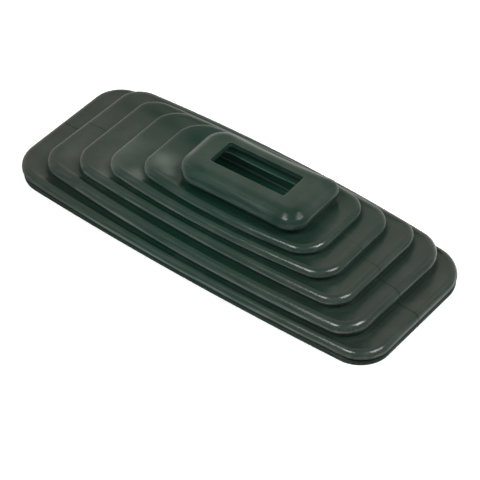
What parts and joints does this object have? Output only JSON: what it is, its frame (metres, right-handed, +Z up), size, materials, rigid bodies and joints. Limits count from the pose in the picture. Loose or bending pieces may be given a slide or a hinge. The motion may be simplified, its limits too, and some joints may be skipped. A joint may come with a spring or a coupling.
{
  "type": "gear shifter boot",
  "caption": "Rectangular stepped rubber bellows that closes the floor opening round a flat gear lever: grooved flange below, folds between, slotted collar on top.",
  "frame": {"origin": "middle of the flange's under side, on the surface that the boot rests on", "axes": "+X along the boot's length towards the end that the collar leans to, +Y across its width, +Z up through the collar"},
  "size_m": [0.2036, 0.084, 0.0396],
  "materials": {
    "rubber": "black moulded rubber with a soft shine with a faint green tint, mould parting line at both ends"
  },
  "bodies": {
    "root": {"boot": "rubber"}
  },
  "joints": []
}
